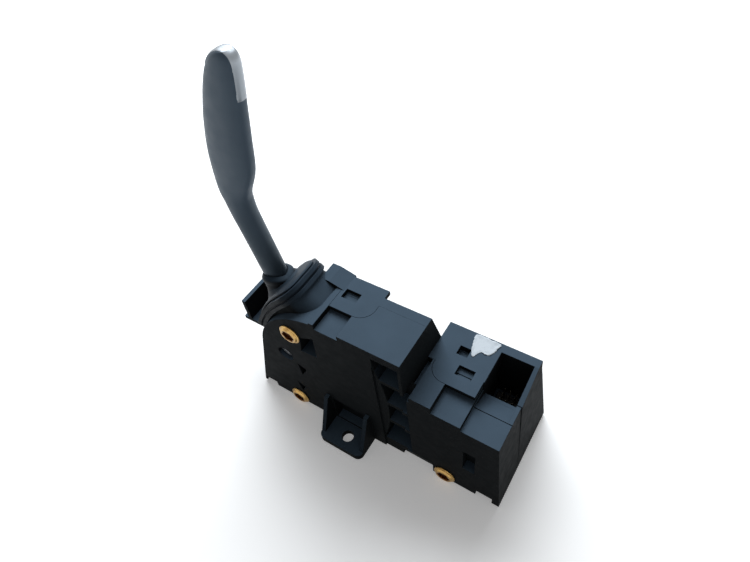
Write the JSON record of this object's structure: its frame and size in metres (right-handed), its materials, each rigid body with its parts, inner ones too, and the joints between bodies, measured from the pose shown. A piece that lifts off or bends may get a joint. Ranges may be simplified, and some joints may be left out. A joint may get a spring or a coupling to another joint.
{
  "type": "gear selector stalk",
  "caption": "Steering-column gear selector: boxed sensor module with bolt lug and connector socket, rubber boot and a tilting paddle lever.",
  "frame": {"origin": "centre of the lug's bolt hole at the mounting face under the lug", "axes": "+Z out of the mounting face towards the lever's tip, +X along the module towards the connector, +Y from the front plate to the back"},
  "size_m": [0.1394, 0.0619, 0.1766],
  "materials": {
    "housing_plastic": "glass-filled moulding, satin black",
    "frame_plastic": "black moulding",
    "boot_rubber": "matt black rubber",
    "soft_touch_plastic": "soft-touch lacquer, dark grey",
    "silver_trim": "satin silver",
    "natural_plastic": "natural acetal",
    "steel": "ground steel",
    "bush_bronze": "sintered bronze",
    "ferrite": "sintered magnet",
    "board_laminate": "solder mask over laminate",
    "chip_resin": "moulded resin",
    "contact_plating": "plated contacts",
    "screw_plating": "yellow zinc plating",
    "label_paper": "bare white label stock"
  },
  "bodies": {
    "housing": {"front_housing": "housing_plastic", "rear_housing": "housing_plastic", "boot_frame": "frame_plastic", "boot": "boot_rubber", "front_bush": "bush_bronze", "rear_bush": "bush_bronze", "detent_track": "natural_plastic", "stop_pads": "boot_rubber", "circuit_board": "board_laminate", "board_chips": "chip_resin", "hall_sensors": "chip_resin", "board_screws": "steel", "connector_header": "frame_plastic", "connector_pins": "contact_plating", "housing_screws": "screw_plating", "label_remnant": "label_paper"},
    "lever": {"lever_core": "steel", "lever_grip": "soft_touch_plastic", "lever_trim": "silver_trim", "collar_ring": "boot_rubber", "selector_carrier": "natural_plastic", "pivot_shaft": "steel", "shaft_clip": "steel", "lever_pin": "steel", "position_magnet": "ferrite", "detent_spring": "steel"},
    "plunger": {"detent_plunger": "steel"}
  },
  "joints": [
    {"name": "lever_tilt", "type": "hinge", "parent": "housing", "child": "lever", "pos_m": [-0.0307, 0.0204, 0.042], "axis": [0, 1, 0], "range_deg": [-8, 8], "stiffness_Nm_per_rad": 2, "deforming": ["boot"]},
    {"name": "plunger_slide", "type": "slide", "parent": "lever", "child": "plunger", "axis": [1, 0, 0], "range_m": [-0.0015, 0], "stiffness_N_per_m": 500, "springref_m": 0.004, "deforming": ["detent_spring"]}
  ]
}
